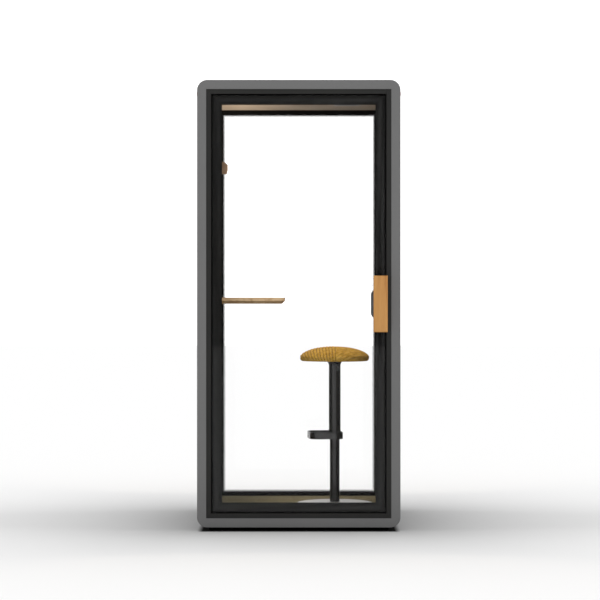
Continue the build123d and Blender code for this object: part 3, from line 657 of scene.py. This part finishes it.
# the cover is laid out flat on a square grid and bent over the dome, so its channels run as they are sewn
def seatCover():
    points, low, high = seatProfile()
    lengths = [0.0]
    for (r0, z0), (r1, z1) in zip(points, points[1:]):
        lengths.append(lengths[-1] + math.hypot(r1 - r0, z1 - z0))
    reach = lengths[-1]
    step = seat["ribMm"] * mm / seat["cellsPerRib"]
    centre = Vector(((low.x + high.x) / 2, (low.y + high.y) / 2, 0))
    turn = math.radians(seat["turnDegrees"])

    def onDome(x, y):
        rho = min(math.hypot(x, y), reach)
        i = next((k for k in range(1, len(lengths)) if lengths[k] >= rho), len(lengths) - 1)
        span = max(lengths[i] - lengths[i - 1], 1e-9)
        t = (rho - lengths[i - 1]) / span
        r = points[i - 1][0] + (points[i][0] - points[i - 1][0]) * t
        z = points[i - 1][1] + (points[i][1] - points[i - 1][1]) * t
        angle = math.atan2(y, x) + turn
        return Vector((r * math.cos(angle), r * math.sin(angle), z)) + centre

    work = bmesh.new()
    count = int(reach / step) + 1
    grid, cellOf = {}, {}
    for i in range(-count, count + 1):
        for j in range(-count, count + 1):
            if math.hypot(i * step, j * step) <= reach - step * 0.35:
                grid[i, j] = work.verts.new(onDome(i * step, j * step))
                cellOf[grid[i, j]] = (i, j)
    for i, j in list(grid):
        corners = [grid.get(k) for k in ((i, j), (i + 1, j), (i + 1, j + 1), (i, j + 1))]
        if all(corners):
            work.faces.new(corners)
    for vert in [v for v in work.verts if not v.link_faces]:
        work.verts.remove(vert)
    rim = {v for e in work.edges if e.is_boundary for v in e.verts}
    for vert in rim:
        i, j = cellOf[vert]
        away = math.hypot(i, j)
        vert.co = onDome(i / away * reach, j / away * reach)
    work.normal_update()
    work.verts.index_update()
    ribs, slanted = seat["cellsPerRib"], seat["slantedCells"]
    sewn, pinned, seamShadeStrengths, lifts = {}, [], [], []
    for vert in work.verts:
        i, j = cellOf[vert]
        # the last value is how much painted shade the seams get: full on the left channels, less on the slanted
        # right half
        if i <= 0:
            across, puff, seamShadeStrength = (i % ribs) / ribs, seat["leftPuffMm"], 1.0
        else:
            across, puff, seamShadeStrength = ((i - j) % slanted) / slanted, seat["rightPuffMm"], 0.8
        onSeam = across == 0 or i == 0
        seamShadeStrengths.append(seamShadeStrength if onSeam else 0.0)
        fade = 0.0 if vert in rim else 1.0
        lifts.append(vert.normal * (puff * fade * mm * (0.0 if onSeam else math.sin(math.pi * across) ** 0.6)))
        if onSeam or vert in rim:
            pinned.append(vert.index)
        if onSeam and vert not in rim:
            line = ("left", i) if i <= 0 else ("right", i - j)
            sewn.setdefault(line, []).append((j, vert.index))
    for vert, lift in zip(work.verts, lifts):
        vert.co += lift
    mesh = bpy.data.meshes.new("seatCover")
    work.to_mesh(mesh)
    work.free()
    mesh.attributes.new("seam", "FLOAT", "POINT").data.foreach_set("value", seamShadeStrengths)
    piece = newPiece("seatCover", mesh, "seat", finishes["seat_cover"])
    swellCloth(piece, pinned)
    stitchLines(mesh, sewn)
    wall = piece.modifiers.new("wall", "SOLIDIFY")
    wall.thickness = seat["wallMm"] * mm
    wall.offset = -1
    shadeSmooth(mesh, 180)
    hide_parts("seat_cushion")
    dustCover(low, centre)
    swivelCollar(low, centre)
    print("seat cover,", len(mesh.vertices), "vertices")


# the cloth swells between its sewn lines under a little pressure
def swellCloth(piece, pinned):
    mesh = piece.data
    group = piece.vertex_groups.new(name="pinned")
    group.add(pinned, 1.0, "REPLACE")
    rest = [v.co.copy() for v in mesh.vertices]
    cloth = piece.modifiers.new("cloth", "CLOTH")
    cloth.settings.vertex_group_mass = "pinned"
    cloth.settings.use_pressure = True
    cloth.settings.uniform_pressure_force = seat["pressure"]
    cloth.settings.effector_weights.gravity = 0
    cloth.settings.mass = seat["clothMass"]
    cloth.settings.tension_stiffness = seat["tension"]
    cloth.settings.bending_stiffness = seat["bending"]
    cloth.settings.quality = seat["quality"]
    cloth.collision_settings.use_collision = False
    for frameNumber in range(1, seat["frames"] + 1):
        scene.frame_set(frameNumber)
    done = piece.evaluated_get(bpy.context.evaluated_depsgraph_get())
    moved = [v.co.copy() for v in done.data.vertices]
    piece.modifiers.remove(cloth)
    scene.frame_set(1)
    limit = seat["swellMm"] * mm
    shifts = [at - home for at, home in zip(moved, rest)]
    print("cloth moved up to", round(max(v.length for v in shifts) / mm, 2), "mm, mean",
          round(sum(v.length for v in shifts) / len(shifts) / mm, 2), "mm")
    for vert, shift, home in zip(mesh.vertices, shifts, rest):
        if shift.length > limit:
            shift = shift.normalized() * limit
        vert.co = home + shift


# thread laid along each sewn line, half sunk in its valley
def stitchLines(mesh, sewn):
    tree, start, end = newTree("stitchRow", {"Pitch": "Float", "Length": "Float", "Thread": "Float"})
    line = addNode(tree, "GeometryNodeMeshToCurve", links={0: start["Geometry"]})
    spaced = addNode(tree, "GeometryNodeResampleCurve", {"mode": "LENGTH"},
                     {0: line.outputs[0], "Length": start["Pitch"]})
    tangent = tree.nodes.new("GeometryNodeInputTangent")
    turned = addNode(tree, "FunctionNodeAlignRotationToVector", {"axis": "Z"}, {"Vector": tangent.outputs[0]})
    thread = addNode(tree, "GeometryNodeMeshCylinder", {"Vertices": 5, "fill_type": "TRIANGLE_FAN"},
                     {"Radius": start["Thread"], "Depth": start["Length"]})
    placed = addNode(tree, "GeometryNodeInstanceOnPoints", links={
        "Points": spaced.outputs[0], "Instance": thread.outputs[0], "Rotation": turned.outputs[0]})
    finishTree(tree, placed.outputs[0], finishes["thread"], end)
    points, edges = [], []
    for row in sewn.values():
        row.sort()
        for k, (j, index) in enumerate(row):
            vert = mesh.vertices[index]
            if k and j == row[k - 1][0] + 1:
                edges.append((len(points) - 1, len(points)))
            points.append(tuple(vert.co + vert.normal * seat["threadMm"] * 0.6 * mm))
    lines = bpy.data.meshes.new("stitchStart")
    lines.from_pydata(points, edges, [])
    values = {"Pitch": (seat["stitchMm"] + seat["stitchGapMm"]) * mm, "Length": seat["stitchMm"] * mm,
              "Thread": seat["threadMm"] * mm}
    growPiece("seatStitches", tree, values, lines, "seat", finishes["thread"])


lining = {
    "plateGapMm": 1.0,     # round the mounting plate
    "rimGapMm": 10.5,      # inside the pad's widest circle
    "upMm": 0.9,           # over the pad's underside
    "sagMm": 0.5,
    "thickMm": 0.5,
    "rings": 8,
    "sides": 96,
}


# black lining stapled under the board, a ring round the mounting plate
def dustCover(low, centre):
    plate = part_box("seat_plate")
    inner = (plate[1].x - plate[0].x) / 2 + lining["plateGapMm"] * mm
    outer = (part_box("seat_cushion")[1].x - centre.x) - lining["rimGapMm"] * mm
    work = bmesh.new()
    sides, count, rings = lining["sides"], lining["rings"], []
    for k in range(count + 1):
        radius = inner + (outer - inner) * k / count
        sag = lining["sagMm"] * mm * math.sin(math.pi * k / count)
        rings.append([work.verts.new((centre.x + radius * math.cos(2 * math.pi * i / sides),
                                      centre.y + radius * math.sin(2 * math.pi * i / sides),
                                      low.z + lining["upMm"] * mm - sag * (1 + 0.4 * math.sin(i * 0.8 + k))))
                      for i in range(sides)])
    for near, far in zip(rings, rings[1:]):
        for i in range(sides):
            work.faces.new((near[i], near[(i + 1) % sides], far[(i + 1) % sides], far[i]))
    work.normal_update()
    if sum(f.normal.z for f in work.faces) > 0:
        bmesh.ops.reverse_faces(work, faces=work.faces)
    mesh = bpy.data.meshes.new("dustCover")
    work.to_mesh(mesh)
    work.free()
    piece = newPiece("dustCover", mesh, "seat", finishes["lining"])
    wall = piece.modifiers.new("wall", "SOLIDIFY")
    wall.thickness = lining["thickMm"] * mm
    wall.offset = -1
    shadeSmooth(mesh, 180)


collar = {  # (radius, depth below the pad) in millimetres, down the outside and back up the bore
    "profile": [(38.5, -0.3), (38.2, 3.5), (36.0, 7.5), (32.8, 10.5), (32.2, 16.5), (31.6, 17.0), (30.6, 17.0),
                (30.4, 16.6), (30.4, -0.3)],
    "sides": 72,
}


# the moulded collar that hides the swivel between the column and the pad
def swivelCollar(low, centre):
    work = bmesh.new()
    rings = [[work.verts.new((centre.x + radius * mm * math.cos(2 * math.pi * i / collar["sides"]),
                              centre.y + radius * mm * math.sin(2 * math.pi * i / collar["sides"]),
                              low.z - depth * mm)) for i in range(collar["sides"])]
             for radius, depth in collar["profile"]]
    for upper, lower in zip(rings, rings[1:] + rings[:1]):
        for i in range(collar["sides"]):
            after = (i + 1) % collar["sides"]
            work.faces.new((upper[i], upper[after], lower[after], lower[i]))
    bmesh.ops.recalc_face_normals(work, faces=work.faces)
    mesh = bpy.data.meshes.new("swivelCollar")
    work.to_mesh(mesh)
    work.free()
    shadeSmooth(mesh, 50)
    newPiece("swivelCollar", mesh, "seat", finishes["black_plastic"])


studio = {
    "skyMiddle": 1.0,     # light from the front, the back and above
    "skySides": 0.45,
    "mirrorFront": 0.1,    # straight in front, where a pane mirrors the dark end of the room
    "mirrorRing": 2.3,      # round that dark end, where posts and tubes pick up their highlight
    "mirrorRoom": 0.65,
    "backdrop": 1.4,
    "floorHalf": 40.0,
    "floorFar": "#f8f8f8",
    "floorShadeNear": "#b7b7b7",  # painted shade on the floor close to the object
    "floorShadowUnder": "#262626",  # painted shadow under the object
    "floorInset": 0.03,      # so that the darkest painted shadow stays under the object
    "floorFade": 0.75,      # metres over which the painted shade clears
    "sunPower": 0.85,
    "sunAngle": 28.0,
    "sunPlace": (6, 0, 3.6),  # on the right; its twin stands on the left
    "sunAim": (0, 0, 0.5),
    "lampPower": 8.9,      # under the ceiling light
    "wallWash": 1.9,       # small warm light under the ceiling on the desk's side
    "lampSize": (0.28, 0.13),
    "washPlace": (-0.33, 0.28, 1.86),
    "washSize": (0.08, 0.3),
    "lens": 122.1,
    "distance": 10.0,
    "height": 1.135,
    "side": 0.0061,
}


def studioWorld():
    world = bpy.data.worlds.new("studio")
    scene.world = world
    world.use_nodes = True
    tree = world.node_tree
    tree.nodes.clear()
    where = addNode(tree, "ShaderNodeTexCoord")
    split = addNode(tree, "ShaderNodeSeparateXYZ", links={0: where.outputs["Generated"]})
    across = addNode(tree, "ShaderNodeMath", {"operation": "ABSOLUTE"}, {0: split.outputs[0]})
    spread = addNode(tree, "ShaderNodeMapRange", {"From Min": 0.2, "From Max": 0.95,
                                                  "To Min": studio["skyMiddle"], "To Max": studio["skySides"]},
                     {"Value": across.outputs[0]})
    front = addNode(tree, "ShaderNodeMath", {"operation": "MULTIPLY", 1: -1.0}, {0: split.outputs[1]})
    ahead = addNode(tree, "ShaderNodeValToRGB", links={"Fac": front.outputs[0]})
    stops = [(0.0, "mirrorRoom"), (0.76, "mirrorRoom"), (0.94, "mirrorRing"), (0.972, "mirrorRing"),
             (0.994, "mirrorFront")]
    ramp = ahead.color_ramp
    while len(ramp.elements) < len(stops):
        ramp.elements.new(0.5)
    for element, (at, key) in zip(ramp.elements, stops):
        element.position = at
        element.color = [studio[key] / studio["mirrorRing"]] * 3 + [1]
    path = addNode(tree, "ShaderNodeLightPath")
    soft = addNode(tree, "ShaderNodeBackground", links={"Color": spread.outputs[0]})
    mirrored = addNode(tree, "ShaderNodeBackground", {"Strength": studio["mirrorRing"]},
                       {"Color": ahead.outputs[0]})
    seen = addNode(tree, "ShaderNodeBackground", {"Color": (1, 1, 1, 1), "Strength": studio["backdrop"]})
    inner = addNode(tree, "ShaderNodeMixShader", links={0: path.outputs["Is Glossy Ray"], 1: soft.outputs[0],
                                                        2: mirrored.outputs[0]})
    outer = addNode(tree, "ShaderNodeMixShader", links={0: path.outputs["Is Camera Ray"], 1: inner.outputs[0],
                                                        2: seen.outputs[0]})
    addNode(tree, "ShaderNodeOutputWorld", links={"Surface": outer.outputs[0]})


def studioFloor():
    half = studio["floorHalf"]
    mesh = bpy.data.meshes.new("floor")
    corners = [(-half, -half, 0), (half, -half, 0), (half, half, 0), (-half, half, 0)]
    mesh.from_pydata(corners, [], [(0, 1, 2, 3)])
    floor = bpy.data.objects.new("studioFloor", mesh)
    scene.collection.objects.link(floor)
    material, tree, shader = newMaterial("floorWithPaintedShadow", rough=0.8, specular=0.0)
    centre = [-(a + b) / 2 for a, b in zip(cadLow, cadHigh)]
    place = objectPlace(tree, shift=(centre[0], centre[1], 0))
    away = addNode(tree, "ShaderNodeVectorMath", {"operation": "ABSOLUTE"}, {0: place})
    inset = studio["floorInset"]
    reach = ((cadHigh.x - cadLow.x) / 2 - inset, (cadHigh.y - cadLow.y) / 2 - inset, 0)
    past = addNode(tree, "ShaderNodeVectorMath", {"operation": "SUBTRACT", 1: reach}, {0: away.outputs[0]})
    past = addNode(tree, "ShaderNodeVectorMath", {"operation": "MAXIMUM", 1: (0, 0, 0)}, {0: past.outputs[0]})
    distance = addNode(tree, "ShaderNodeVectorMath", {"operation": "LENGTH"}, {0: past.outputs[0]})
    power = addNode(tree, "ShaderNodeMath", {"operation": "MULTIPLY", 1: -1 / studio["floorFade"]},
                    {0: distance.outputs["Value"]})
    near = addNode(tree, "ShaderNodeMath", {"operation": "EXPONENT"}, {0: power.outputs[0]})
    # painted shade: the floor's colour darkens towards the object and turns near-black under it, a painted
    # contact shadow
    tree.links.new(rampOf(tree, near.outputs[0], [(0, studio["floorFar"]), (0.965, studio["floorShadeNear"]),
                                          (1, studio["floorShadowUnder"])]), shader.inputs["Base Color"])
    mesh.materials.append(material)


def newLight(name, kind, place, aim, power, colour="#ffffff"):
    data = bpy.data.lights.new(name, kind)
    data.energy = power
    data.color = linear(colour)[:3]
    lamp = bpy.data.objects.new(name, data)
    scene.collection.objects.link(lamp)
    lamp.location = place
    lamp.rotation_euler = (Vector(aim) - Vector(place)).to_track_quat("-Z", "Y").to_euler()
    lamp.visible_camera = False
    lamp.visible_glossy = False
    return data


def studioLights():
    for side in (-1, 1):
        x, y, z = studio["sunPlace"]
        sun = newLight("sun" + ("Left" if side < 0 else "Right"), "SUN", (side * x, y, z), studio["sunAim"],
                       studio["sunPower"])
        sun.angle = math.radians(studio["sunAngle"])
    low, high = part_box("light_diffuser")
    x, y = (low.x + high.x) / 2, (low.y + high.y) / 2
    lamp = newLight("boothLamp", "AREA", (x, y, low.z - 0.004), (x, y, 0), studio["lampPower"], "#fff1e0")
    x, y, z = studio["washPlace"]
    wash = newLight("wallWash", "AREA", (x, y, z), (x, y, z + 1), studio["wallWash"], "#ffe9cf")
    for data, size in ((lamp, studio["lampSize"]), (wash, studio["washSize"])):
        data.shape = "RECTANGLE"
        data.size, data.size_y = size


def studioCamera():
    data = bpy.data.cameras.new("camera")
    data.lens = studio["lens"]
    data.clip_end = 200
    camera = bpy.data.objects.new("camera", data)
    scene.collection.objects.link(camera)
    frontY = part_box("front_trim")[0].y
    camera.location = (studio["side"], frontY - studio["distance"], studio["height"])
    camera.rotation_euler = (math.radians(90), 0, 0)
    scene.camera = camera


scene.view_settings.view_transform = "Standard"
studioCamera()
studioWorld()
studioFloor()
studioLights()
print("studio ready")
finishCadNodes()
fritBorder()
fritDots()
screwRows()
seatCover()
